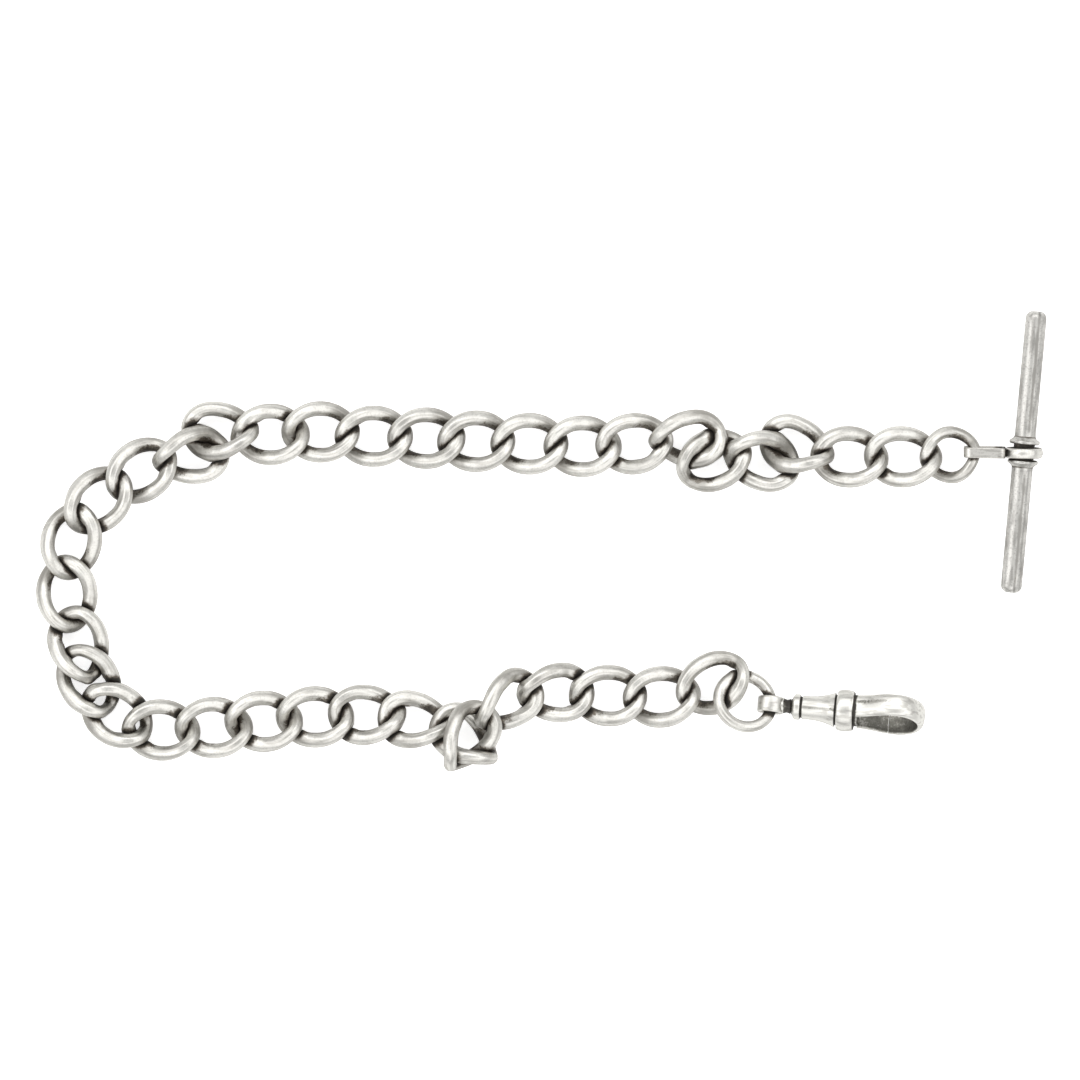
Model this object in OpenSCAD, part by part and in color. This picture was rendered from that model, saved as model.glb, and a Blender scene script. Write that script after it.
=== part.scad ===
// Pocket-watch chain: twisted curb links, a bar at one end and a swivelling spring hook at the
// other, lying on a table. Millimetres, +Z up, +X along the chain towards the bar.

/* [Links] */
// Length of a chain link over its wire
link_length = 12.5; // [12:0.1:13]
// Width of a chain link over its wire, before it is twisted
link_width = 9.8; // [9.6:0.1:10]
// Wire diameter at the two ends of a link
link_end_wire = 1.84; // [1.6:0.02:1.9]
// Wire diameter half way along a link's sides
link_side_wire = 2.34; // [2:0.02:2.4]
// Twist of each end of a link against its middle, in degrees
link_twist = 45; // [42:1:48]
// Fullness of a link's corners, 1 is a true ellipse and less is squarer
link_corner = 0.88; // [0.85:0.01:0.95]
// Length over the wire of the first link, the rounder one beside the bar
first_length = 9.8; // [9.6:0.1:10]
// Width over the wire of the first link, before it is twisted
first_width = 9.2; // [9:0.1:9.4]
// Wire diameter at the first link's ends
first_end_wire = 1.6; // [1.4:0.02:1.7]
// Wire diameter at the first link's sides
first_side_wire = 1.84; // [1.6:0.02:1.9]
// Twist of each end of the first link, in degrees
first_twist = 40; // [36:1:44]
// Outer diameter of the plain ring that the hook hangs from
ring_od = 10.6; // [10:0.1:11]
// Wire diameter of that ring
ring_wire = 1.85; // [1.6:0.05:1.9]

/* [Bar] */
// Length of the bar over its domed ends
bar_length = 45.3; // [40:0.1:50]
// Diameter of the bar
bar_d = 3.36; // [3:0.02:3.4]
// Outer diameter of the eye's band round the bar
eye_od = 6.2; // [6:0.1:6.6]
// Width of that band along the bar
eye_w = 1.65; // [1.5:0.05:1.8]
// Play between the bar and the band, on the radius
eye_play = 0.12; // [0.1:0.01:0.14]
// Distance that the band has slid from the middle between the beads
eye_slip = 0.15; // [0:0.05:0.2]
// Reach of the eye's strap from the bar's axis
strap_reach = 9.6; // [9.5:0.05:9.8]
// Height of the strap's loop
strap_h = 5.4; // [5:0.1:5.6]
// Width of the strap
strap_w = 1.65; // [1.4:0.05:1.7]
// Thickness of the strap
strap_t = 0.56; // [0.5:0.01:0.6]
// Diameter of the two beads that keep the band in its place
bead_d = 4.9; // [4.6:0.1:5.2]

/* [Hook] */
// Diameter of the collar
collar_d = 6.7; // [6.5:0.1:6.9]
// Width of the collar along the hook's axis
collar_w = 2.7; // [2.6:0.1:2.8]
// Length of the waisted barrel between the cap and the collar
barrel_l = 5.25; // [5:0.05:5.5]
// Diameter of the barrel beside the cap
barrel_d = 3.76; // [3.7:0.02:3.9]
// Diameter of the barrel beside the collar
barrel_flare_d = 5.56; // [5.4:0.02:5.7]
// Distance from the collar's middle to the far end of the hook
hook_reach = 12.8; // [12.6:0.1:13]
// Width over the hook's loop where it is widest
hook_w = 9.5; // [9.3:0.1:9.7]
// Width over the hook's two arms at the collar
hook_root_w = 6.3; // [6.2:0.1:6.4]
// Thickness of the band that the hook is made of
band_t = 1.15; // [1.1:0.05:1.2]
// Width of that band
band_w = 3.6; // [3.4:0.1:3.7]
// Distance from the collar's middle to the seam between lever and hook
seam_at = 6.8; // [6.6:0.1:7]
// Diameter of the lever's hinge pin
pin_d = 0.9; // [0.8:0.05:1]
// Outer diameter of the swivel's ring
swivel_od = 4.2; // [4.1:0.1:4.3]
// Thickness of the swivel's ring
swivel_w = 2.6; // [2.4:0.1:2.7]
// Hole of the swivel's ring
swivel_hole = 3; // [2.9:0.05:3.05]

/* [Lie of the bar and hook] */
// Turn of the bar on the table, in degrees
bar_turn = -5.3; // [-8:0.1:-4]
// Rise of the bar towards its far end, in degrees
bar_dip = 3.4; // [3:0.1:3.5]
// Turn of the bar's eye on the table, in degrees
eye_turn = -1; // [-4:0.1:-1]
// Heading of the hook on the table, in degrees
hook_heading = -4.4; // [-5:0.1:-4]
// Rise of the hook towards its far end, in degrees
hook_pitch = 4.6; // [4.4:0.1:5]
// Roll of the hook about its own axis, in degrees
hook_roll = 68; // [66:1:70]
// Roll of the swivel's ring about the hook's axis, in degrees
swivel_roll = -8; // [-12:1:-4]

/* [Hidden] */
$fn = 48;
SILVER = "silver";
OLD_SILVER = "darkgray";
// Corners of the wire's section, and rings of wire in a link
WIRE_SIDES = 6;
WIRE_RINGS = 16;
// The table's zero lies under the middle of the chain's outline
MIDDLE = [0.4, -0.1];

// A kind of link: half length and half width to the wire's middle, wire radius at the ends
// and at the sides, twist and corner fullness
HALF_L = 0;
HALF_W = 1;
R_END = 2;
R_SIDE = 3;
TWIST = 4;
CORNER = 5;
CURB = [
  (link_length - link_end_wire) / 2, (link_width - link_side_wire) / 2,
  link_end_wire / 2, link_side_wire / 2, link_twist, link_corner
];
FIRST = [
  (first_length - first_end_wire) / 2, (first_width - first_side_wire) / 2,
  first_end_wire / 2, first_side_wire / 2, first_twist, 1
];
RING = [(ring_od - ring_wire) / 2, (ring_od - ring_wire) / 2, ring_wire / 2, ring_wire / 2, 0, 1];

// How each link lies: x and y of its middle, height of its lowest point above the table,
// heading, rise of its far end and roll about its length, in degrees.
// The first rows were read off the photo by hand. A search script outside this file then moved
// most of them, for the photo's outline and the gaps, so the table is not wholly a hand design
X = 0;
Y = 1;
LIFT = 2;
HEADING = 3;
RISE = 4;
ROLL = 5;
LINKS = [
  [65.6, 13.6, 0.3, 15, 3, 3],
  [58.1, 13.3, 0.2, -3, 1, -5],
  [49.5, 13.3, 0.1, -3, -1, -3],
  [41.1, 15, 0, -20, 11, -26],
  [35.6, 12.8, 0.6, -17, -11, 12],
  [27.8, 12.8, 0.6, 22, -4, -2],
  [23.6, 16.1, 0.1, 5, 6, 26],
  [15.1, 15.4, 0.3, 6, 3, -2],
  [6.8, 15, 0, 0, 0, 0],
  [-1.7, 15.4, 0, 0, 0, 0],
  [-10.2, 15.8, 0, 0, 0, 0],
  [-18.2, 16.3, 0, 0, 0, 0],
  [-26.6, 16.6, 0, 0, 0, 0],
  [-35.1, 17.3, 0, 0, 0, 0],
  [-43.1, 16.9, 0.1, 0, 0, 0],
  [-51.2, 17.4, 0.3, -3, 10, -22],
  [-55.9, 13.5, 0, 8, -9, 27],
  [-63.8, 11.1, 0.1, 35, 0, 0],
  [-70.7, 6.3, 0.2, 43, 0, 2],
  [-75, -0.2, 0, 79, -2, -1],
  [-75.7, -8.6, 0, 95, 0, 0],
  [-73.8, -16.7, 0, 105, -3, 10],
  [-72.2, -22.5, 0, 119, 3, 0],
  [-67.7, -28, 0, 145, 1, 0],
  [-60.6, -30.4, 0, 175, 0, 0],
  [-52.2, -30, 0, 180, 0, 0],
  [-44.2, -29, 0, 180, 0, 0],
  [-36, -28.3, 0, 180, 0, 0],
  [-27.7, -28, 0.1, 178, -6, 14],
  [-19.8, -28.9, 0.5, 171, -7, 28],
  [-11.9, -31.6, 0.1, -38, -1, -36],
  [-11.5, -31.6, 2.7, 57, -4, 38],
  [-5.2, -25.9, 2.2, 34, -15, 36],
  [2.5, -24.4, 0.6, 181, 7, -20],
  [10.9, -24.9, 0.3, 178, -1, -4],
  [19.5, -25.1, 0.6, 185, -3, 3],
  [27.7, -23, 0.4, 28, 7, 3],
];
// How the plain ring at the hook lies, in the same columns
RING_LIE = [32.8, -25.8, 1.3, -5, -16, -22];

// Middle of the bar's eye band on the table, and the height of the bar's axis there
BAR_AT = [77.4, 14.1, eye_od / 2 + 0.05];
// Middle of the hook's collar on the table
HOOK_AT = [48.9, -27.3];

link_name = function(i) str("link_", i < 9 ? "0" : "", i + 1);

// Sizes that follow from the ones above
bar_r = bar_d / 2;
bar_corner = 0.8;
bead_at = eye_w / 2 + 0.45;
bead_w = 0.65;
strap_corner = 1.3;
collar_r = collar_d / 2;
face_at = collar_w / 2;
groove_w = 0.35;
groove_deep = 0.35;
barrel_end = -face_at - groove_w;
cap_end = barrel_end - barrel_l;
cap_w = 1;
cone_w = 0.4;
neck_r = 1.22;
neck_l = 1.6;
stem_r = 0.6;
stem_play = 0.05;
stem_l = 3;
neck_at = cap_end - groove_w - cap_w - cone_w;
root_l = 0.6;
wide_half = (hook_w - band_t) / 2;
root_half = (hook_root_w - band_t) / 2;
wide_at = hook_reach - band_t / 2 - wide_half;
pin_off = 2.25;
pin_l = 4.6;
pin_play = 0.05;
slot_w = 2.2;
slot_floor = 0.75;
tongue_w = 1.9;
lever_from = face_at + 0.45;
seam_gap = 0.25;
hook_low = wide_half * sin(hook_roll) + band_w / 2 * cos(hook_roll) + 0.25;
hook_z = hook_low - wide_at * sin(hook_pitch);

// Signed power, for corners squarer than an ellipse's
function bend(v, p) = sign(v) * pow(abs(v), p);

// A point of a link's wire: an ellipse with fuller corners, leaned by twist * cos(t) about its length
function wire_point(kind, t) =
  let (
    lean = kind[TWIST] * cos(t),
    side = kind[HALF_W] * bend(sin(t), kind[CORNER])
  )
  [kind[HALF_L] * bend(cos(t), kind[CORNER]), side * cos(lean), -side * sin(lean)];

// The wire's radius grows from the ends to the sides
function wire_r(kind, t) = kind[R_END] + (kind[R_SIDE] - kind[R_END]) * pow(sin(t), 2);

// Height of a link's own point p once the link has its rise and roll
function risen(lie, p) =
  sin(lie[RISE]) * p.x + cos(lie[RISE]) * (sin(lie[ROLL]) * p.y + cos(lie[ROLL]) * p.z);

// Lowest height that a link's wire reaches about its own middle
function lowest(kind, lie) =
  min([for (t = [0 : 5 : 355]) risen(lie, wire_point(kind, t)) - wire_r(kind, t)]);

function unit(v) = v / norm(v);

// Points of one ring of the wire: sides corners round the wire's middle, square to its path
function wire_ring(kind, t) =
  let (
    step = 360 / WIRE_RINGS / 2,
    middle = wire_point(kind, t),
    along = unit(wire_point(kind, t + step) - wire_point(kind, t - step)),
    across = unit(cross(along, [0, 0, 1])),
    up = cross(across, along),
    r = wire_r(kind, t)
  )
  [for (k = [0 : WIRE_SIDES - 1])
    let (a = 360 * (k + 0.5) / WIRE_SIDES)
    middle + r * (cos(a) * across + sin(a) * up)];

// Triangles of a tube of rings with sides corners each, closed on itself or capped at both ends
function tube_faces(rings, sides, closed) = concat(
  [for (i = [0 : rings - (closed ? 1 : 2)], k = [0 : sides - 1], half = [0, 1])
    let (j = (i + 1) % rings, m = (k + 1) % sides)
    half == 0 ? [i * sides + k, i * sides + m, j * sides + m] : [i * sides + k, j * sides + m, j * sides + k]],
  closed ? [] : [
    [for (k = [sides - 1 : -1 : 0]) k],
    [for (k = [0 : sides - 1]) (rings - 1) * sides + k]
  ]
);

// A closed loop of wire in a link's own frame, its length along X
module wire_loop(kind) {
  rings = [for (i = [0 : WIRE_RINGS - 1]) wire_ring(kind, 360 * i / WIRE_RINGS)];
  polyhedron(points = [for (r = rings, p = r) p], faces = tube_faces(WIRE_RINGS, WIRE_SIDES, true));
}

// A link laid on the table
module laid_link(kind, lie) {
  color(SILVER)
    translate([lie[X] - MIDDLE.x, lie[Y] - MIDDLE.y, lie[LIFT] - lowest(kind, lie)])
      rotate([lie[ROLL], -lie[RISE], lie[HEADING]])
        wire_loop(kind);
}

// Frame of the bar: its axis along Z, the chain's side at -X
module at_bar(turn) {
  translate([BAR_AT.x - MIDDLE.x, BAR_AT.y - MIDDLE.y, BAR_AT.z])
    rotate([bar_dip - 90, 0, turn])
      children();
}

// Frame of the hook: its axis along X, its near arm at +Y and the loop's own plane XY
module at_hook() {
  translate([HOOK_AT.x - MIDDLE.x, HOOK_AT.y - MIDDLE.y, hook_z])
    rotate([0, -hook_pitch, hook_heading])
      rotate([hook_roll, 0, 0])
        children();
}

// A rectangle from the axis with two round outer corners, for bands and beads
module round_band(r, w, corner) {
  translate([0, -w / 2])
    square([r - corner, w]);
  translate([0, corner - w / 2])
    square([r, w - 2 * corner]);
  for (side = [-1, 1])
    translate([r - corner, side * (w / 2 - corner)])
      circle(corner);
}

// One bead of the bar, with a cone on its outer side that runs down to the bar
module bead() {
  rotate_extrude() {
    round_band(bead_d / 2, bead_w, 0.3);
    polygon([[0, 0], [bead_d / 2 - 0.2, 0], [bar_r, 0.85], [0, 0.85]]);
  }
}

// The bar, with softly rounded ends and a bead each side of the eye's band
module bar() {
  color(OLD_SILVER)
    at_bar(bar_turn) {
      rotate_extrude()
        round_band(bar_r, bar_length, bar_corner);
      for (side = [0, 1])
        mirror([0, 0, side])
          translate([0, 0, bead_at + bead_w / 2])
            bead();
    }
}

// Side of the strap's loop, from its round-cornered end to a straight edge nearer the bar
module strap_side(reach, edge, h, corner) {
  translate([-reach + corner, -h / 2])
    square([reach - corner - edge, h]);
  translate([-reach, corner - h / 2])
    square([corner, h - 2 * corner]);
  for (side = [-1, 1])
    translate([-reach + corner, side * (h / 2 - corner)])
      circle(corner);
}

// The band round the bar, with a strap bent into a loop for the first link
module bar_eye() {
  color(SILVER)
    at_bar(eye_turn)
      translate([0, 0, -eye_slip])
        difference() {
          union() {
            rotate_extrude()
              round_band(eye_od / 2, eye_w, 0.45);
            translate([0, 0, -strap_w / 2])
              linear_extrude(strap_w)
                strap_side(strap_reach, bar_r + 0.5, strap_h, strap_corner);
          }
          translate([0, 0, -eye_w])
            cylinder(h = 2 * eye_w, r = bar_r + eye_play);
          translate([0, 0, -strap_w])
            linear_extrude(2 * strap_w)
              strap_side(strap_reach - strap_t, eye_od / 2 + 0.1, strap_h - 2 * strap_t, strap_corner - strap_t);
        }
}

// The swivel's ring, its neck, and the stem that turns in the hook's cap
module swivel_eye() {
  ring_at = neck_at - neck_l - swivel_od / 2 + 0.35;
  color(SILVER)
    at_hook()
      rotate([swivel_roll - hook_roll, 0, 0]) {
        translate([ring_at, 0, 0])
          rotate([90, 0, 0])
            difference() {
              rotate_extrude()
                round_band(swivel_od / 2, swivel_w, 0.3);
              translate([0, 0, -swivel_w])
                cylinder(h = 2 * swivel_w, r = swivel_hole / 2);
            }
        translate([neck_at - neck_l, 0, 0])
          rotate([0, 90, 0]) {
            cylinder(h = neck_l - 0.1, r = neck_r);
            cylinder(h = neck_l + stem_l, r = stem_r);
          }
      }
}

// Outline of the hook's cap, barrel and collar: x is the radius and y the place along the axis
function barrel_outline() =
  let (
    cap_r = 2.05,
    rim_r = barrel_flare_d / 2 - groove_deep,
    edge_r = collar_r - 0.45
  )
  concat(
    [[0, neck_at], [neck_r, neck_at], [cap_r - 0.1, neck_at + cone_w], [cap_r, neck_at + cone_w + 0.15]],
    [[cap_r, cap_end - groove_w], [cap_r - groove_deep, cap_end - groove_w]],
    [[cap_r - groove_deep, cap_end]],
    [for (s = [0 : 0.125 : 1])
      [barrel_d / 2 + (barrel_flare_d - barrel_d) / 2 * pow(s, 2.5), cap_end + barrel_l * s]],
    [[rim_r, barrel_end], [rim_r, -face_at]],
    [for (a = [-90 : 22.5 : 90]) [edge_r + (collar_r - edge_r) * cos(a), face_at * sin(a)]],
    [[0, face_at]]
  );

// Half distance between the middles of the hook's two arms, easing from the collar to the widest place
function arm_half(u) =
  root_half + (wide_half - root_half) * (1 - cos(180 * (u - face_at) / (wide_at - face_at))) / 2;

// Path along one arm, side 1 near and -1 far, in steps from one place on the axis to another
function arm_path(side, from, to, steps) =
  [for (i = [0 : steps]) let (u = from + (to - from) * i / steps) [u, side * arm_half(u)]];

// Path round the hook's far end
function bow_path(steps) =
  [for (i = [1 : steps - 1]) let (a = 90 - 180 * i / steps) [wide_at + wide_half * cos(a), wide_half * sin(a)]];

// The band's section: flat with soft corners inside and half round outside
function band_section() = concat(
  [[-band_t / 2 + 0.2, -band_w / 2], [-band_t / 2, 0.35 - band_w / 2]],
  [[-band_t / 2, band_w / 2 - 0.35], [-band_t / 2 + 0.2, band_w / 2]],
  [for (a = [0 : 30 : 180])
    [band_t * (0.62 * bend(sin(a), 0.8) - 0.12), band_w / 2 * bend(cos(a), 0.8)]]
);

// Band swept along a flat path, inner side to the right of its way
module band(path) {
  n = len(path);
  section = band_section();
  rings = [for (i = [0 : n - 1])
    let (
      way = unit(path[min(i + 1, n - 1)] - path[max(i - 1, 0)]),
      out = [-way.y, way.x]
    )
    [for (s = section) [path[i].x + s.x * out.x, path[i].y + s.x * out.y, s.y]]];
  polyhedron(points = [for (r = rings, p = r) p], faces = tube_faces(n, len(section), false));
}

// Cap, barrel, collar and hook, soldered into one piece, with a slot for the lever's tongue
module hook_body() {
  color(SILVER)
    at_hook()
      difference() {
        union() {
          rotate([0, 90, 0])
            rotate_extrude()
              polygon(barrel_outline());
          difference() {
            translate([face_at - 0.1, 0, 0])
              rotate([0, 90, 0])
                cylinder(h = root_l + 0.1, r = barrel_flare_d / 2 - groove_deep);
            translate([0, -5.6, -4])
              cube([4, 5, 8]);
          }
          band(concat(
            arm_path(1, face_at - 0.2, wide_at, 8),
            bow_path(10),
            arm_path(-1, wide_at, seam_at, 2)
          ));
        }
        translate([-2.6, -collar_r - 1, -slot_w / 2])
          cube([2.6 + face_at + 1, collar_r + 1 - slot_floor, slot_w]);
        translate([0, -pin_off, -pin_l / 2])
          cylinder(h = pin_l, r = pin_d / 2);
        translate([neck_at - 0.1, 0, 0])
          rotate([0, 90, 0])
            cylinder(h = stem_l + 0.3, r = stem_r + stem_play);
      }
}

// The lever: band, tongue through the slot, hub on the pin and a spur for the thumb
module hook_lever() {
  color(OLD_SILVER)
    at_hook()
      difference() {
        union() {
          band(arm_path(-1, seam_at - seam_gap, lever_from, 6));
          translate([0, -pin_off - 0.55, -tongue_w / 2])
            cube([lever_from + 0.6, 0.95, tongue_w]);
          translate([0, -pin_off, -tongue_w / 2])
            cylinder(h = tongue_w, r = 0.95);
          translate([-2.3, -pin_off - 0.6, -tongue_w / 2])
            cube([2.3, 0.8, tongue_w]);
          translate([-2.3, -collar_r - 0.1, -tongue_w / 2])
            cube([0.75, 1, tongue_w]);
        }
        translate([0, -pin_off, -tongue_w])
          cylinder(h = 2 * tongue_w, r = pin_d / 2 + pin_play);
      }
}

// The lever's hinge pin, riveted through the collar
module lever_pin() {
  color(OLD_SILVER)
    at_hook()
      translate([0, -pin_off, -pin_l / 2])
        cylinder(h = pin_l, r = pin_d / 2);
}

for (i = [0 : len(LINKS) - 1])
  laid_link(i == 0 ? FIRST : CURB, LINKS[i]);
laid_link(RING, RING_LIE);  // hook_ring
bar();
bar_eye();
swivel_eye();
hook_body();
hook_lever();
lever_pin();
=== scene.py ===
import bmesh
import bpy
import numpy as np
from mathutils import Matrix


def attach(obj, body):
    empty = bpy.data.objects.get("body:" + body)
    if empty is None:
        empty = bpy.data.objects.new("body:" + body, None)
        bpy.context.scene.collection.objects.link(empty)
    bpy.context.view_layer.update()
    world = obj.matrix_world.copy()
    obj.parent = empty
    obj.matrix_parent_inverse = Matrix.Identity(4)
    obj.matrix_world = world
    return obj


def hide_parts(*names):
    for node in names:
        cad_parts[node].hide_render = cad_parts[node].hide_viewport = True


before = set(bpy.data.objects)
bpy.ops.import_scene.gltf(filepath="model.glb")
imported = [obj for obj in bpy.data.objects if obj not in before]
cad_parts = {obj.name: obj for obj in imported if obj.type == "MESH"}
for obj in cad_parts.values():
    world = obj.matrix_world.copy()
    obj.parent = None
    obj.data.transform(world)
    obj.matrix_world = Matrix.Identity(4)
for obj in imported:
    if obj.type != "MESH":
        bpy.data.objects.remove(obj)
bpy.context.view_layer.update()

print("watch chain: frame loaded,", len(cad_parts), "solids")

mm = 0.001
tableMiddle = np.array([0.4, -0.1, 0.0])  # the link table's zero against the frame's, mm

camera = {"height": 0.6, "frameWidth": 0.1728, "middle": (-0.0004, 0.0001)}
studio = {
    "floorSize": 3.0, "floorColour": (0.93, 0.93, 0.925), "floorGlow": 0.6,
    "skyColour": (1.0, 1.0, 1.0), "skyStrength": 0.56,
    "panelSize": (0.75, 0.5), "panelDistance": 0.62, "panelElevation": 46.0,
    # compass direction of each soft panel in degrees and its power in watts
    "panels": ((180, 1.45), (90, 1.60), (0, 1.20), (270, 1.10)),
}


def makeCamera():
    data = bpy.data.cameras.new("camera")
    data.type = "ORTHO"
    data.ortho_scale = camera["frameWidth"]
    data.clip_start, data.clip_end = 0.01, 20.0
    eye = bpy.data.objects.new("camera", data)
    eye.location = (*camera["middle"], camera["height"])
    bpy.context.scene.collection.objects.link(eye)
    bpy.context.scene.camera = eye


def makeStudio():
    for number, (compass, watts) in enumerate(studio["panels"]):
        light = bpy.data.lights.new(f"softPanel{number}", "AREA")
        light.shape = "RECTANGLE"
        light.size, light.size_y = studio["panelSize"]
        light.energy = watts
        panel = bpy.data.objects.new(f"softPanel{number}", light)
        up, side = np.radians(studio["panelElevation"]), np.radians(compass)
        away = np.array([np.cos(up) * np.cos(side), np.cos(up) * np.sin(side), np.sin(up)])
        panel.location = away * studio["panelDistance"]
        panel.rotation_euler = (np.pi / 2 - up, 0.0, side + np.pi / 2)
        bpy.context.scene.collection.objects.link(panel)
    world = bpy.data.worlds.new("softSky")
    world.use_nodes = True
    sky = world.node_tree.nodes["Background"]
    sky.inputs["Color"].default_value = (*studio["skyColour"], 1.0)
    sky.inputs["Strength"].default_value = studio["skyStrength"]
    bpy.context.scene.world = world
    bpy.context.scene.view_settings.view_transform = "Standard"


silver = {
    "bright": (0.72, 0.708, 0.668), "grey": (0.38, 0.366, 0.336),
    "brown": (0.15, 0.13, 0.107), "black": (0.034, 0.030, 0.025), "roughness": 0.37,
}
tarnish = {
    # how much patches, lines and specks shift the edge of each zone
    "wornByPatch": 0.9, "wornByLines": 0.5, "innerByPatch": 1.7,
    "touchByPatch": 0.9, "touchByRest": 0.3, "bySpeck": 0.9,
    # the values between which each effect comes in
    "wornFrom": (0.08, 0.68), "streakFrom": (0.36, 0.50), "speckFrom": (0.34, 0.50),
    "innerBrown": (0.46, 0.80), "innerBlack": (0.78, 1.15),
    "touchBrown": (0.32, 0.64), "touchBlack": (0.52, 0.80), "touchRough": (0.38, 0.9),
    # how strong each effect is
    "streakShare": 0.5, "innerBrownShare": 0.85, "innerBlackShare": 0.75,
    "roughUnworn": 0.10, "roughContactDark": 0.22, "blackDull": 0.55,
}


def newGroup(name, inputs, outputs):
    group = bpy.data.node_groups.new(name, "ShaderNodeTree")
    kinds = {float: "NodeSocketFloat", tuple: "NodeSocketColor", list: "NodeSocketVector"}
    for label, value in inputs.items():
        socket = group.interface.new_socket(label, in_out="INPUT", socket_type=kinds[type(value)])
        socket.default_value = (*value, 1.0) if isinstance(value, tuple) else value
    for label, kind in outputs.items():
        group.interface.new_socket(label, in_out="OUTPUT", socket_type=kinds[kind])
    start, end = group.nodes.new("NodeGroupInput"), group.nodes.new("NodeGroupOutput")
    return group, start.outputs, end.inputs


def node(tree, kind, inputs=(), **settings):
    made = tree.nodes.new("ShaderNode" + kind)
    for key, value in settings.items():
        setattr(made, key, value)
    for key, value in dict(inputs).items():
        if isinstance(value, bpy.types.NodeSocket):
            tree.links.new(value, made.inputs[key])
        else:
            made.inputs[key].default_value = value
    return made


def maths(tree, operation, first, second=0.0, clamp=False):
    return node(tree, "Math", {0: first, 1: second}, operation=operation, use_clamp=clamp).outputs[0]


def smoothStep(tree, value, low, high):
    return node(tree, "MapRange", {"Value": value, "From Min": low, "From Max": high},
                interpolation_type="SMOOTHSTEP").outputs["Result"]


def mixColour(tree, share, first, second):
    made = node(tree, "Mix", {"Factor": share}, data_type="RGBA")
    for socket, value in ((made.inputs[6], first), (made.inputs[7], second)):
        if isinstance(value, bpy.types.NodeSocket):
            tree.links.new(value, socket)
        else:
            socket.default_value = (*value, 1.0)
    return made.outputs[2]


# Lines of old polishing along the metal, fine and broad, from a place that the mesh carries
def makeGrainGroup():
    group, given, out = newGroup("polishingLines", {"Place": [0.0, 0.0, 0.0], "Turn": 0.0},
                                 {"Fine": float, "Broad": float})
    fine = node(group, "TexNoise", {"Vector": given["Place"], "W": given["Turn"], "Scale": 1.0, "Detail": 3.0,
                                    "Roughness": 0.6}, noise_dimensions="4D")
    broad = node(group, "TexNoise", {"Vector": given["Place"], "W": given["Turn"], "Scale": 0.45,
                                     "Detail": 1.0}, noise_dimensions="4D")
    group.links.new(fine.outputs[0], out["Fine"])
    group.links.new(broad.outputs[0], out["Broad"])
    return group


# Knocks and pits of long wear as a height, and a coarse and a fine noise for the tarnish
def makeKnocksGroup():
    group, given, out = newGroup("knocksAndPits", {"Size": 900.0},
                                 {"Height": float, "Patch": float, "Speck": float})
    place = node(group, "TexCoord").outputs["Object"]
    dents = node(group, "TexNoise", {"Vector": place, "Scale": given["Size"], "Detail": 2.0})
    pitScale = maths(group, "MULTIPLY", given["Size"], 1.9)
    pits = node(group, "TexVoronoi", {"Vector": place, "Scale": pitScale})
    pit = smoothStep(group, pits.outputs["Distance"], 0.05, 0.22)
    rare = smoothStep(group, dents.outputs[0], 0.52, 0.60)
    pitted = maths(group, "MULTIPLY", maths(group, "SUBTRACT", 1.0, pit), rare)
    height = maths(group, "SUBTRACT", dents.outputs[0], maths(group, "MULTIPLY", pitted, 0.6))
    patch = node(group, "TexNoise", {"Vector": place, "Scale": 420.0, "Detail": 4.0, "Roughness": 0.62})
    speck = node(group, "TexNoise", {"Vector": place, "Scale": 3000.0, "Detail": 2.0})
    group.links.new(height, out["Height"])
    group.links.new(patch.outputs[0], out["Patch"])
    group.links.new(speck.outputs[0], out["Speck"])
    return group
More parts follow.
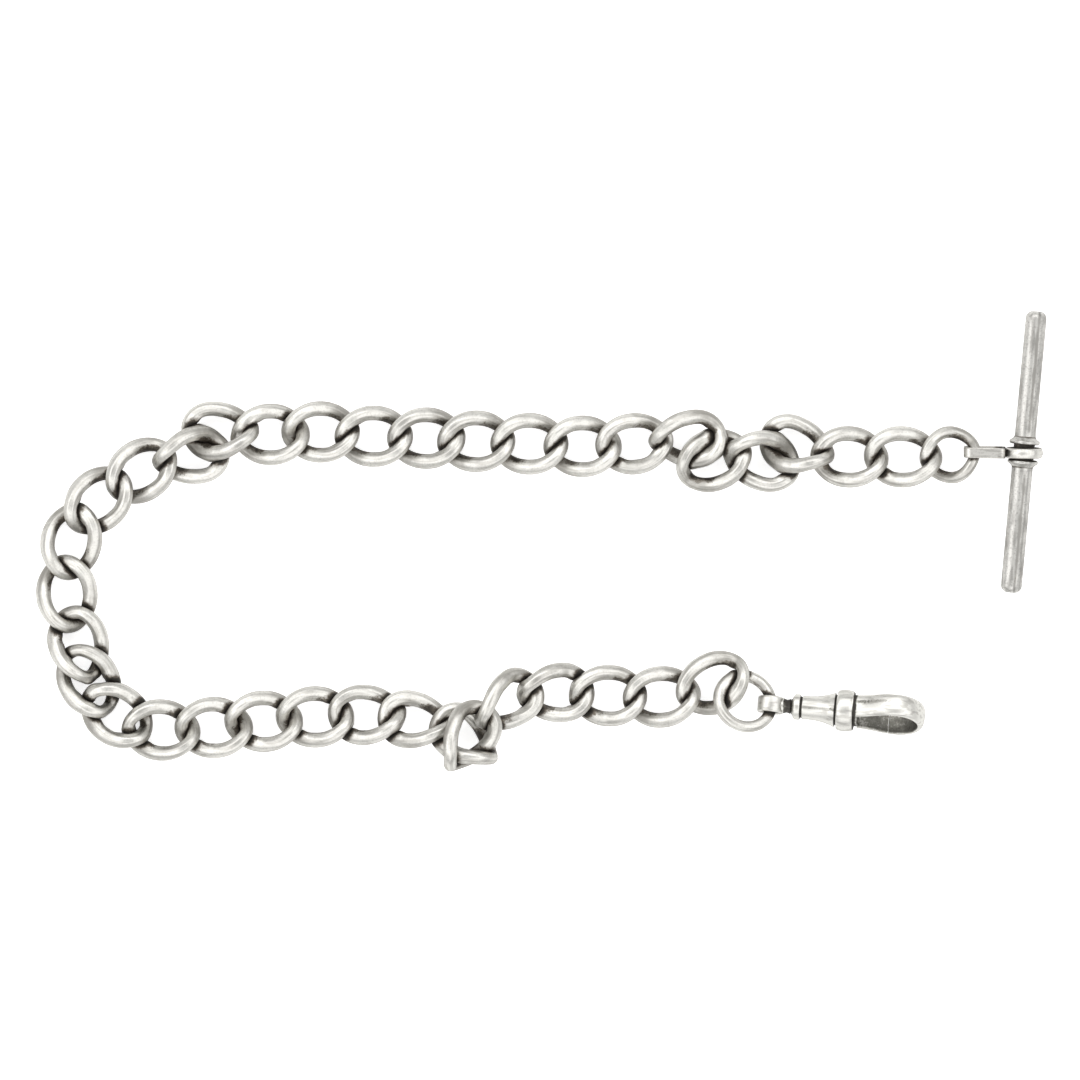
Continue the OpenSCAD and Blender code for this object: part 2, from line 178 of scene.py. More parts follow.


# Old silver: bright where it is rubbed and where light is painted on, grey where it is sheltered, unrubbed
# and in painted shade, brown then black where metal meets metal, as tarnish and painted shade together
def makeTarnishAndShadeGroup():
    group, given, out = newGroup(
        "oldSilver",
        {"Bright": silver["bright"], "Grey": silver["grey"], "WornAndLit": 1.0, "ContactTarnishAndShade": 0.0, "Inner": 0.0,
         "Lines": 0.5, "Patch": 0.5, "Speck": 0.5, "Speckle": 0.3, "StainAndShade": silver["brown"],
         "Gloss": silver["roughness"]},
        {"Colour": tuple, "Roughness": float, "Metal": float})
    patch = maths(group, "SUBTRACT", given["Patch"], 0.5)
    lines = maths(group, "SUBTRACT", given["Lines"], 0.5)
    worn = maths(group, "ADD", given["WornAndLit"], maths(group, "MULTIPLY", patch, tarnish["wornByPatch"]))
    worn = maths(group, "ADD", worn, maths(group, "MULTIPLY", lines, tarnish["wornByLines"]))
    worn = smoothStep(group, worn, *tarnish["wornFrom"])
    metal = mixColour(group, worn, given["Grey"], given["Bright"])
    streak = maths(group, "SUBTRACT", 1.0, smoothStep(group, given["Lines"], *tarnish["streakFrom"]))
    metal = mixColour(group, maths(group, "MULTIPLY", streak, tarnish["streakShare"]), metal, given["Grey"])
    specks = maths(group, "SUBTRACT", 1.0, smoothStep(group, given["Speck"], *tarnish["speckFrom"]))
    metal = mixColour(group, maths(group, "MULTIPLY", specks, given["Speckle"]), metal, given["Grey"])
    blotch = maths(group, "MULTIPLY", maths(group, "SUBTRACT", given["Speck"], 0.5), tarnish["bySpeck"])
    inner = maths(group, "ADD", given["Inner"], maths(group, "MULTIPLY", patch, tarnish["innerByPatch"]))
    inner = maths(group, "ADD", inner, blotch)
    brown = smoothStep(group, inner, *tarnish["innerBrown"])
    brown = maths(group, "MULTIPLY", brown, tarnish["innerBrownShare"])
    metal = mixColour(group, brown, metal, given["StainAndShade"])
    deep = smoothStep(group, inner, *tarnish["innerBlack"])
    deep = maths(group, "MULTIPLY", deep, tarnish["innerBlackShare"])
    metal = mixColour(group, deep, metal, silver["black"])
    touch = maths(group, "ADD", given["ContactTarnishAndShade"], maths(group, "MULTIPLY", patch, tarnish["touchByPatch"]))
    rest = maths(group, "ADD", lines, blotch)
    touch = maths(group, "ADD", touch, maths(group, "MULTIPLY", rest, tarnish["touchByRest"]))
    metal = mixColour(group, smoothStep(group, touch, *tarnish["touchBrown"]), metal, given["StainAndShade"])
    black = smoothStep(group, touch, *tarnish["touchBlack"])
    metal = mixColour(group, black, metal, silver["black"])
    unworn = maths(group, "SUBTRACT", 1.0, worn)
    rough = maths(group, "ADD", given["Gloss"], maths(group, "MULTIPLY", unworn, tarnish["roughUnworn"]))
    touched = smoothStep(group, touch, *tarnish["touchRough"])
    rough = maths(group, "ADD", rough, maths(group, "MULTIPLY", touched, tarnish["roughContactDark"]))
    group.links.new(metal, out["Colour"])
    group.links.new(rough, out["Roughness"])
    dull = maths(group, "MULTIPLY", black, tarnish["blackDull"])
    group.links.new(maths(group, "SUBTRACT", 1.0, dull), out["Metal"])
    return group


groups = {}


# One finish of old silver, with its own brightness, gloss, line strength and knock strength
def silverFinish(name, bright=silver["bright"], grey=silver["grey"], stainAndShade=silver["brown"],
                 gloss=silver["roughness"], speckle=0.3, lineDepth=0.012, knockDepth=0.03, knockSize=900.0):
    material = bpy.data.materials.new(name)
    material.use_nodes = True
    tree = material.node_tree
    tree.nodes.clear()
    place = node(tree, "Attribute", attribute_name="grainPlace").outputs["Vector"]
    turn = node(tree, "Attribute", attribute_name="grainTurn").outputs["Fac"]
    masks = {label: node(tree, "Attribute", attribute_name=label).outputs["Fac"]
             for label in ("worn", "touch", "inner")}
    grain = node(tree, "Group", node_tree=groups["grain"])
    tree.links.new(place, grain.inputs["Place"])
    tree.links.new(turn, grain.inputs["Turn"])
    knocks = node(tree, "Group", node_tree=groups["knocks"])
    knocks.inputs["Size"].default_value = knockSize
    old = node(tree, "Group", node_tree=groups["tarnish"])
    old.inputs["Bright"].default_value = (*bright, 1.0)
    old.inputs["Grey"].default_value = (*grey, 1.0)
    old.inputs["StainAndShade"].default_value = (*stainAndShade, 1.0)
    old.inputs["Speckle"].default_value = speckle
    old.inputs["Gloss"].default_value = gloss
    for label, socket in (("WornAndLit", masks["worn"]), ("ContactTarnishAndShade", masks["touch"]), ("Inner", masks["inner"]),
                          ("Lines", grain.outputs["Broad"]), ("Patch", knocks.outputs["Patch"]),
                          ("Speck", knocks.outputs["Speck"])):
        tree.links.new(socket, old.inputs[label])
    knockBump = node(tree, "Bump", {"Strength": 1.0, "Distance": knockDepth * mm,
                                    "Height": knocks.outputs["Height"]})
    lineBump = node(tree, "Bump", {"Strength": 1.0, "Distance": lineDepth * mm,
                                   "Height": grain.outputs["Fine"], "Normal": knockBump.outputs[0]})
    shader = node(tree, "BsdfPrincipled", {
        "Base Color": old.outputs["Colour"], "Roughness": old.outputs["Roughness"],
        "Metallic": old.outputs["Metal"], "Normal": lineBump.outputs[0]})
    end = node(tree, "OutputMaterial", {"Surface": shader.outputs[0]})
    end.location = (600, 0)
    return material


def floorFinish():
    material = bpy.data.materials.new("paleFloor")
    material.use_nodes = True
    tree = material.node_tree
    shader = tree.nodes["Principled BSDF"]
    shader.inputs["Base Color"].default_value = (*studio["floorColour"], 1.0)
    shader.inputs["Roughness"].default_value = 0.7
    shader.inputs["Emission Color"].default_value = (1.0, 1.0, 1.0, 1.0)
    # the glow is only seen, so that the metal reflects a plain lit table
    seen = node(tree, "LightPath").outputs["Is Camera Ray"]
    tree.links.new(maths(tree, "MULTIPLY", seen, studio["floorGlow"]), shader.inputs["Emission Strength"])
    shader.inputs["Specular IOR Level"].default_value = 0.2
    return material


def turnAbout(axis, degrees):
    c, s = np.cos(np.radians(degrees)), np.sin(np.radians(degrees))
    return {"x": np.array([[1, 0, 0], [0, c, -s], [0, s, c]]),
            "y": np.array([[c, 0, s], [0, 1, 0], [-s, 0, c]]),
            "z": np.array([[c, -s, 0], [s, c, 0], [0, 0, 1]])}[axis]


def unit(v):
    return v / np.linalg.norm(v, axis=-1, keepdims=True)


def softRise(value, low, high):  # 0 below low, 1 above high, eased between
    share = np.clip((value - low) / (high - low), 0.0, 1.0)
    return share * share * (3.0 - 2.0 * share)


def signedPower(value, power):
    return np.sign(value) * np.abs(value) ** power


# Quads of a grid of rows by columns, wrapped round each way that is closed
def gridFaces(rows, columns, rowsClosed, columnsClosed, first=0):
    i = np.arange(rows if rowsClosed else rows - 1)[:, None]
    j = np.arange(columns if columnsClosed else columns - 1)[None, :]
    i2, j2 = (i + 1) % rows, (j + 1) % columns
    quads = np.stack([i * columns + j + 0 * i, i * columns + j2, i2 * columns + j2, i2 * columns + j], -1)
    return quads.reshape(-1, 4) + first


# Mesh of one or more closed grids in millimetres, put in its place in the frame in metres
def makeMesh(name, parts, place):
    points, faces, count = [], [], 0
    for grid, rowsClosed, capped in parts:
        rows, columns = grid.shape[:2]
        faces += gridFaces(rows, columns, rowsClosed, True, count).tolist()
        if capped:
            faces.append((count + np.arange(columns)[::-1]).tolist())
            faces.append((count + (rows - 1) * columns + np.arange(columns)).tolist())
        points.append(grid.reshape(-1, 3))
        count += rows * columns
    local = np.concatenate(points)
    mesh = bpy.data.meshes.new(name)
    mesh.from_pydata((local @ place["turn"].T + place["at"]) * mm, [], faces)
    mesh.update()
    return mesh


def meshPoints(mesh, place):  # the mesh's points back in the piece's own millimetres, with their normals
    count = len(mesh.vertices) * 3
    points, normals = np.empty(count, np.float32), np.empty(count, np.float32)
    mesh.vertices.foreach_get("co", points)
    mesh.vertex_normals.foreach_get("vector", normals)
    return (points.reshape(-1, 3) / mm - place["at"]) @ place["turn"], normals.reshape(-1, 3) @ place["turn"]


def addMasks(mesh, **masks):
    for label, values in masks.items():
        kind, key = ("FLOAT_VECTOR", "vector") if np.ndim(values) > 1 else ("FLOAT", "value")
        attribute = mesh.attributes.new(label, kind, "POINT")
        attribute.data.foreach_set(key, np.ascontiguousarray(values, np.float32).ravel())


def addPiece(name, mesh, material, body, slot, *nodes, sharp=32.0):
    mesh.shade_smooth()
    mesh.set_sharp_from_angle(angle=np.radians(sharp))
    mesh.materials.append(material)
    piece = bpy.data.objects.new(name, mesh)
    bpy.context.scene.collection.objects.link(piece)
    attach(piece, body)
    if nodes:
        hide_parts(*nodes)
    return piece


# Joins closed shells into one skin one after another, or cuts them away, and gives the joined mesh
def fuse(name, base, others, operation="UNION"):
    for other in others:
        owner, helper = (bpy.data.objects.new(name + ending, mesh)
                         for ending, mesh in (("Base", base), ("Helper", other)))
        for each in (owner, helper):
            bpy.context.scene.collection.objects.link(each)
        modifier = owner.modifiers.new("join", "BOOLEAN")
        modifier.object, modifier.operation, modifier.solver = helper, operation, "EXACT"
        bpy.context.view_layer.update()
        base = bpy.data.meshes.new_from_object(owner.evaluated_get(bpy.context.evaluated_depsgraph_get()))
        for each in (owner, helper):
            bpy.data.objects.remove(each)
    skin = bmesh.new()
    skin.from_mesh(base)
    bmesh.ops.remove_doubles(skin, verts=skin.verts, dist=0.002 * mm)
    bmesh.ops.dissolve_degenerate(skin, edges=skin.edges, dist=0.001 * mm)
    bmesh.ops.holes_fill(skin, edges=[edge for edge in skin.edges if edge.is_boundary], sides=0)
    skin.to_mesh(base)
    skin.free()
    base.name = name
    return base


linkKinds = {
    "first": {"length": 9.8, "width": 9.2, "endWire": 1.6, "sideWire": 1.84, "twist": 40.0, "corner": 1.0},
    "curb": {"length": 12.5, "width": 9.8, "endWire": 1.84, "sideWire": 2.34, "twist": 45.0, "corner": 0.88},
    "ring": {"length": 10.6, "width": 10.6, "endWire": 1.85, "sideWire": 1.85, "twist": 0.0, "corner": 1.0},
}
links = {
    "alongSteps": 128, "aroundSteps": 40, "facets": 8, "facetDepth": 0.075, "facetTurns": 2,
    "blackGap": 1.9,  # tarnish and painted shade reach this far from the next link, mm
    "closeFrom": 1.35, "closeTo": 0.85, "slit": 0.012,
    "steepFrom": 0.5, "steepTo": 0.85,  # no closing where the neighbour lies this steeply above or below
    "nearWithin": 14.0,  # only links with their middles this near count as neighbours, mm
    "reachPasses": 8, "touchPasses": 4, "guestWire": 0.5,
    "plump": 0.05,  # the curb links' wires are this much thicker above, mm
    # x, y, height of the lowest point, heading, rise of the far end and roll of each link, mm and degrees,
    # as in the CAD; read off the photo first, and most rows then moved by a search
    "lies": (
        (65.6, 13.6, 0.3, 15, 3, 3), (58.1, 13.3, 0.2, -3, 1, -5), (49.5, 13.3, 0.1, -3, -1, -3),
        (41.1, 15, 0, -20, 11, -26), (35.6, 12.8, 0.6, -17, -11, 12), (27.8, 12.8, 0.6, 22, -4, -2),
        (23.6, 16.1, 0.1, 5, 6, 26), (15.1, 15.4, 0.3, 6, 3, -2), (6.8, 15, 0, 0, 0, 0),
        (-1.7, 15.4, 0, 0, 0, 0), (-10.2, 15.8, 0, 0, 0, 0), (-18.2, 16.3, 0, 0, 0, 0),
        (-26.6, 16.6, 0, 0, 0, 0), (-35.1, 17.3, 0, 0, 0, 0), (-43.1, 16.9, 0.1, 0, 0, 0),
        (-51.2, 17.4, 0.3, -3, 10, -22), (-55.9, 13.5, 0, 8, -9, 27), (-63.8, 11.1, 0.1, 35, 0, 0),
        (-70.7, 6.3, 0.2, 43, 0, 2), (-75, -0.2, 0, 79, -2, -1), (-75.7, -8.6, 0, 95, 0, 0),
        (-73.8, -16.7, 0, 105, -3, 10), (-72.2, -22.5, 0, 119, 3, 0), (-67.7, -28, 0, 145, 1, 0),
        (-60.6, -30.4, 0, 175, 0, 0), (-52.2, -30, 0, 180, 0, 0), (-44.2, -29, 0, 180, 0, 0),
        (-36, -28.3, 0, 180, 0, 0), (-27.7, -28, 0.1, 178, -6, 14), (-19.8, -28.9, 0.5, 171, -7, 28),
        (-11.9, -31.6, 0.1, -38, -1, -36), (-11.5, -31.6, 2.7, 57, -4, 38), (-5.2, -25.9, 2.2, 34, -15, 36),
        (2.5, -24.4, 0.6, 181, 7, -20), (10.9, -24.9, 0.3, 178, -1, -4), (19.5, -25.1, 0.6, 185, -3, 3),
        (27.7, -23, 0.4, 28, 7, 3), (32.8, -25.8, 1.3, -5, -16, -22),
    ),
}


# Middle of a link's wire: an ellipse with fuller corners, each point leaned by twist * cos t
# about the link's length
def wirePoint(kind, t):
    lean = np.radians(kind["twist"]) * np.cos(t)
    side = (kind["width"] - kind["sideWire"]) / 2 * signedPower(np.sin(t), kind["corner"])
    along = (kind["length"] - kind["endWire"]) / 2 * signedPower(np.cos(t), kind["corner"])
    return np.stack([along, side * np.cos(lean), -side * np.sin(lean)], -1)


def wireRadius(kind, t):  # from the end wire to the side wire by the square of sin t
    return (kind["endWire"] + (kind["sideWire"] - kind["endWire"]) * np.sin(t) ** 2) / 2


def linkPlace(kind, lie):
    x, y, lift, heading, rise, roll = lie
    turn = turnAbout("z", heading) @ turnAbout("y", -rise) @ turnAbout("x", roll)
    t = np.radians(np.arange(0, 360, 5))
    lowest = ((wirePoint(kind, t) @ turn.T)[:, 2] - wireRadius(kind, t)).min()
    return {"turn": turn, "at": np.array([x, y, lift - lowest]) - tableMiddle}


# Even steps along the closed wire: its middle, radius, way and the two directions square to it
def wireRun(kind, steps):
    t = np.linspace(0.0, 2 * np.pi, 4097)
    path = wirePoint(kind, t)
    length = np.concatenate([[0.0], np.cumsum(np.linalg.norm(np.diff(path, axis=0), axis=1))])
    t = np.interp(np.linspace(0.0, length[-1], steps, endpoint=False), length, t)
    middle = wirePoint(kind, t)
    way = unit(np.roll(middle, -1, 0) - np.roll(middle, 1, 0))
    across = unit(np.cross(way, [0.0, 0.0, 1.0]))
    return {"t": t, "middle": middle, "radius": wireRadius(kind, t), "across": across,
            "up": np.cross(across, way)}


# Point = middle + radius * (cos a * across + sin a * up). Shallow flats cut the radius: they turn
# slowly with t and are deepest on the high arms, which are rubbed most
def linkSurface(run, number):
    a = np.linspace(0.0, 2 * np.pi, links["aroundSteps"], endpoint=False)[None, :]
    t = run["t"][:, None]
    flats = 0.5 - 0.5 * np.cos(links["facets"] * a + links["facetTurns"] * t + number)
    high = np.abs(run["middle"][:, 2:]) / (np.abs(run["middle"][:, 2]).max() + 1e-6)
    depth = links["facetDepth"] * (0.3 + 0.7 * high) * (0.8 + 0.2 * np.cos(3 * t + 2.1 * number))
    radius = run["radius"][:, None] * (1 - depth * flats)
    outward = np.cos(a)[..., None] * run["across"][:, None] + np.sin(a)[..., None] * run["up"][:, None]
    return run["middle"][:, None] + radius[..., None] * outward, outward


# A grid's values averaged with their neighbours a few times, both ways round
def smoothGrid(values, times):
    for _ in range(times):
        values = (np.roll(values, 1, 0) + 2 * values + np.roll(values, -1, 0)) / 4
        values = (np.roll(values, 1, 1) + 6 * values + np.roll(values, -1, 1)) / 8
    return values


# Gap from each point to the nearest of its neighbours' wires, and the way to it
def nearestWire(points, wires, radii):
    apart = np.linalg.norm(points[:, None] - wires[None], axis=2) - radii[None]
    nearest = apart.argmin(1)
    return apart[np.arange(len(points)), nearest], unit(wires[nearest] - points), nearest


def makeLinks(material):
    kinds = [linkKinds["first"]] + [linkKinds["curb"]] * (len(links["lies"]) - 2) + [linkKinds["ring"]]
    runs = [wireRun(kind, links["alongSteps"]) for kind in kinds]
    places = [linkPlace(kind, lie) for kind, lie in zip(kinds, links["lies"])]
    wires = [run["middle"] @ place["turn"].T + place["at"] for run, place in zip(runs, places)]
    radii = [run["radius"] for run in runs]
    last = len(kinds) - 1
    guests = [(points, links["guestWire"]) for points in (hookPoints(), barEyePoints())]
    for number, (kind, run, place) in enumerate(zip(kinds, runs, places)):
        away = [np.linalg.norm(other["at"] - place["at"]) for other in places]
        near = [other for other in range(len(kinds)) if other != number and away[other] < links["nearWithin"]]
        beside = np.concatenate([wires[other] for other in near] + [points for points, _ in guests])
        width = np.concatenate([radii[other] for other in near]
                               + [np.full(len(points), r) for points, r in guests])
        linkPoints = sum(len(radii[other]) for other in near)
        local, outward = linkSurface(run, number)
        outwardFlat = outward.reshape(-1, 3) @ place["turn"].T
        flat = (local @ place["turn"].T + place["at"]).reshape(-1, 3)
        gap, toward, nearest = nearestWire(flat, beside, width)
        if kind["twist"]:
            plump = links["plump"] * softRise(outwardFlat[:, 2], -0.8, -0.3)
            local = local + plump.reshape(local.shape[:2])[..., None] * outward
            gap = gap - plump
        # the links are pulled together: metal that faces a neighbour closer than closeFrom reaches
        # half way to it
        faces = (outwardFlat * toward).sum(1)
        share = softRise(-gap, -links["closeFrom"], -links["closeTo"]) * softRise(faces, 0.0, 0.75)
        level = softRise(-np.abs(toward[:, 2]), -links["steepTo"], -links["steepFrom"])
        share = share * level * (nearest < linkPoints)
        reach = share * np.clip(gap - links["slit"], -0.3, 1.0) / 2
        local = local + smoothGrid(reach.reshape(local.shape[:2]), links["reachPasses"])[..., None] * outward
        # painted shade with tarnish: faces that look into the link are darker, more so on the link's low
        # parts
        inner = np.clip((outward * unit(-run["middle"])[:, None]).sum(-1), 0.0, 1.0)
        low = softRise(-run["middle"][:, 2:], -0.5, 1.0) if kind["twist"] else 0.3
        inner = (inner * (0.25 + 1.1 * low)).ravel()
        # painted light and shade with wear: high faces that look up are bright and low faces grey; the plain
        # ring's inward faces are grey as painted shade
        proud = (local[..., 2] * outward[..., 2]).ravel()
        worn = softRise(proud, -1.8, 2.6) if kind["twist"] else 0.75 - 0.35 * inner
        # painted shade with tarnish: dark where the metal faces a near neighbour, and dark where a
        # neighbour's wire lies over it
        sheltered = softRise(toward[:, 2], -0.3, 0.35)
        touch = np.maximum((1 - np.clip(gap / links["blackGap"], 0, 1)) * softRise(faces, -0.45, 0.4),
                           0.95 * softRise(-gap, -links["blackGap"], -0.3) * sheltered)
        touch = smoothGrid(touch.reshape(local.shape[:2]), links["touchPasses"]).ravel()
        s = np.linspace(0.0, 2 * np.pi, len(run["t"]), endpoint=False)[:, None]
        a = np.linspace(0.0, 2 * np.pi, links["aroundSteps"], endpoint=False)[None, :] + 0 * s
        grain = np.stack([1.7 * np.cos(s) + 9.0 * number + 0 * a, 1.7 * np.sin(s) + 0 * a,
                          6.0 * np.cos(a)], -1)
        name = "plain_ring" if number == last else f"curb_link_{number + 1:02d}" if number else "first_link"
        solid = "hook_ring" if number == last else f"link_{number + 1:02d}"
        mesh = makeMesh(name, [(local, True, False)], place)
        addMasks(mesh, worn=worn, inner=inner, touch=touch,
                 grainPlace=grain.reshape(-1, 3), grainTurn=(6.0 * np.sin(a)).ravel())
        addPiece(name, mesh, material, "chain", "silver_links", solid)
    print("watch chain: links and ring made,", len(kinds))


bar = {
    "at": (77.4, 14.1, 3.15), "turn": -5.3, "dip": 3.4, "length": 45.3, "radius": 1.68, "endCorner": 1.15,
    "beadRadius": 2.45, "beadFrom": 1.275, "beadTo": 1.925, "coneTo": 2.45, "aroundSteps": 72,
    "lineAt": 0.3,  # side place of the long dark line, a painted reflection of a dark thing overhead, as a share of the radius
    "wornBase": 0.64, "wornEnds": 0.2, "wornBeads": 0.55, "wornSides": 0.25,
    "reflectionLineDim": 0.55, "lineInner": 0.34,
}
barEye = {
    "turn": -1.0, "slip": 0.15, "radius": 3.1, "bore": 1.80, "halfWidth": 0.825, "crown": 0.09,
    "corner": 0.36,
    "reach": 9.6, "height": 5.4, "width": 1.65, "thickness": 0.56, "bend": 1.3, "root": 3.2,
}


def barPlace(turn, slip=0.0):
    frameTurn = turnAbout("z", turn) @ turnAbout("x", bar["dip"] - 90)
    return {"turn": frameTurn, "at": np.array(bar["at"]) - tableMiddle - slip * frameTurn[:, 2]}


# A profile of radius against height turned about the Z axis; rows run along the profile
def revolve(radii, heights, steps):
    a = np.linspace(0.0, 2 * np.pi, steps, endpoint=False)[None, :]
    radii, heights = np.asarray(radii)[:, None], np.asarray(heights)[:, None]
    return np.stack([radii * np.cos(a), radii * np.sin(a), heights + 0 * a], -1)


def arc(middle, radius, start, end, steps):  # points of a circle's part, degrees
    a = np.radians(np.linspace(start, end, steps))
    return np.stack([middle[0] + radius * np.cos(a), middle[1] + radius * np.sin(a)], -1)


# Half of the bar's profile from its middle to its end: a bead with round edges, a cone down to the
# bar, a flat dome
def barProfile():
    r, end = bar["radius"], bar["length"] / 2
    corner = 0.3
    bead = np.concatenate([
        [[r, 0.0], [r, bar["beadFrom"] - 0.02]], [[1.95, bar["beadFrom"]]],
        arc((bar["beadRadius"] - corner, bar["beadFrom"] + corner), corner, -90, 0, 7),
        arc((bar["beadRadius"] - corner, bar["beadTo"] - corner), corner, 0, 66, 6),
        [[2.16, bar["beadTo"] + 0.03], [1.92, bar["coneTo"] - 0.3], [1.74, bar["coneTo"] - 0.06]],
        [[r, bar["coneTo"]]]])
    shaft = np.stack([np.full(40, r), np.linspace(bar["coneTo"] + 0.3, end - bar["endCorner"] - 0.1, 40)], -1)
    dome = arc((r - bar["endCorner"], end - bar["endCorner"]), bar["endCorner"], 0, 78, 10)
    crown = [[0.35, end - 0.012], [0.02, end]]
    return np.concatenate([bead, shaft, dome, crown])


def makeBar(material):
    half = barProfile()
    profile = np.concatenate([half[::-1] * [1, -1], half[1:]])
    place = barPlace(bar["turn"])
    grid = revolve(profile[:, 0], profile[:, 1], bar["aroundSteps"])
    mesh = makeMesh("t_bar", [(grid, False, True)], place)
    local, _ = meshPoints(mesh, place)
    height = np.abs(local[:, 2])
    # painted shade with tarnish: dark in the groove between the beads and at the foot of each cone
    betweenBeads = softRise(-np.abs(height - 0.5), -1.15, -0.55)
    coneFoot = softRise(-np.abs(height - bar["coneTo"]), -0.42, 0.0)
    touch = betweenBeads * 0.95 + coneFoot * 0.62
    ends = softRise(height, bar["length"] / 2 - 1.0, bar["length"] / 2)
    beads = softRise(-np.abs(height - 1.8), -0.6, -0.2)
    worn = bar["wornBase"] + bar["wornEnds"] * ends + bar["wornBeads"] * beads
    grain = local * [2.6, 2.6, 0.42] + [40.0, 0.0, 0.0]
    # painted reflection: a long dark line along the bar, a little off its top
    reflectionLine = softRise(-np.abs(local[:, 0] / bar["radius"] - bar["lineAt"]), -0.25, -0.02)
    reflectionLine = reflectionLine * softRise(height, 2.6, 4.0)
    # painted shade: the bar gets darker towards its sides
    worn = worn - bar["wornSides"] * softRise(np.abs(local[:, 0]) / bar["radius"], 0.6, 1.0)
    addMasks(mesh, worn=worn - bar["reflectionLineDim"] * reflectionLine, inner=bar["lineInner"] * reflectionLine,
             touch=np.clip(touch, 0, 1), grainPlace=grain, grainTurn=0 * height)
    addPiece("t_bar", mesh, material, "bar", "silver_bar", "bar")
    print("watch chain: bar made")


# The strap's loop in the bar's XY plane: straight sides with four round bends
def strapPath():
    out = barEye["thickness"] / 2
    left, right = -barEye["reach"] + out, -barEye["root"]
    top, r = barEye["height"] / 2 - out, barEye["bend"] - out
    small = 0.4
    path = np.concatenate([
        arc((right - small, top - small), small, 0, 90, 6), arc((left + r, top - r), r, 90, 180, 14),
        arc((left + r, -top + r), r, 180, 270, 14), arc((right - small, -top + small), small, 270, 360, 6)])
    return resample(path, 120)


def resample(path, steps):  # even steps round a closed flat path
    closed = np.concatenate([path, path[:1]])
    length = np.concatenate([[0.0], np.cumsum(np.linalg.norm(np.diff(closed, axis=0), axis=1))])
    even = np.linspace(0.0, length[-1], steps, endpoint=False)
    return np.stack([np.interp(even, length, closed[:, k]) for k in range(2)], -1)


def barEyePoints():
    path = strapPath()
    place = barPlace(barEye["turn"], barEye["slip"])
    return np.stack([path[:, 0], path[:, 1], 0 * path[:, 0]], -1) @ place["turn"].T + place["at"]


# A flat strip's section: half width and half thickness with round edges
def stripSection(halfWidth, halfThickness, corner, steps=6):
    w, h = halfWidth - corner, halfThickness - corner
    return np.concatenate([arc((h, w), corner, 0, 90, steps), arc((-h, w), corner, 90, 180, steps),
                           arc((-h, -w), corner, 180, 270, steps), arc((h, -w), corner, 270, 360, steps)])


# A section carried along a flat path: its first number goes out from the path and its second goes up
def sweep(path, section, closed):
    ahead, behind = (np.roll(path, -1, 0), np.roll(path, 1, 0)) if closed else (
        np.concatenate([path[1:], path[-1:]]), np.concatenate([path[:1], path[:-1]]))
    way = unit(ahead - behind)
    out = np.stack([-way[:, 1], way[:, 0]], -1)
    flat = path[:, None] + section[None, :, :1] * out[:, None]
    return np.concatenate([flat, np.broadcast_to(section[None, :, 1:], flat.shape[:2] + (1,))], -1)


def makeBarEye(material):
    place = barPlace(barEye["turn"], barEye["slip"])
    w, c, r = barEye["halfWidth"], barEye["corner"], barEye["radius"]
    crown = np.linspace(-w + c, w - c, 9)
    section = np.concatenate([
        [[barEye["bore"], w - 0.12], [barEye["bore"], -w + 0.12], [barEye["bore"] + 0.12, -w]],
        arc((r - c - barEye["crown"], -w + c), c, -90, 0, 7),
        np.stack([r - barEye["crown"] * (crown / (w - c)) ** 2, crown], -1)[1:-1],
        arc((r - c - barEye["crown"], w - c), c, 0, 90, 7), [[barEye["bore"] + 0.12, w]]])
    band = makeMesh("bar_eye_band", [(revolve(section[:, 0], section[:, 1], 72), True, False)], place)
    strap = sweep(strapPath(), stripSection(barEye["width"] / 2, barEye["thickness"] / 2, 0.17), True)
    mesh = fuse("bar_eye_strap", makeMesh("strap", [(strap[:, ::-1], True, False)], place), [makeMesh(
        "bore", [(revolve([2.6] * 2, [-3.0, 3.0], 48), False, True)], place)], "DIFFERENCE")
    for name, made in (("bar_eye_band", band), ("bar_eye_strap", mesh)):
        local, _ = meshPoints(made, place)
        radius = np.hypot(local[:, 0], local[:, 1])
        if name == "bar_eye_band":
            # painted shade with tarnish: the band is bright on its outer face, grey on its sides and dark at
            # the bore and at the edges beside the beads
            edge = softRise(np.abs(local[:, 2]), w - 0.28, w)
            touch = np.maximum(softRise(-radius, -2.75, -2.2), 0.55 * edge)
            worn = softRise(radius, 2.7, 3.05)
        else:
            # painted shade with tarnish: the strap gets darker towards the band, and its inside faces are
            # grey
            inside = np.abs(local[:, 1]) < barEye["height"] / 2 - 0.4
            inside = inside & (local[:, 0] > -barEye["reach"] + 0.4)
            touch = 0.85 * softRise(-radius, -3.9, -3.2) + 0.3 * inside + 0.34 * softRise(-radius, -6.2, -4.4)
            worn = 0.95 - 0.6 * inside
        grain = np.stack([np.arctan2(local[:, 1], local[:, 0]) * 1.5, local[:, 2] * 5, radius * 4], -1)
        grain = local * [0.5, 0.5, 5.0] if name == "bar_eye_strap" else grain
        addMasks(made, worn=worn, inner=0 * radius, touch=np.clip(touch, 0, 1), grainPlace=grain,
                 grainTurn=0 * radius)
        addPiece(name, made, material, "chain", "silver_bar", "bar_eye")
    print("watch chain: bar's eye made")


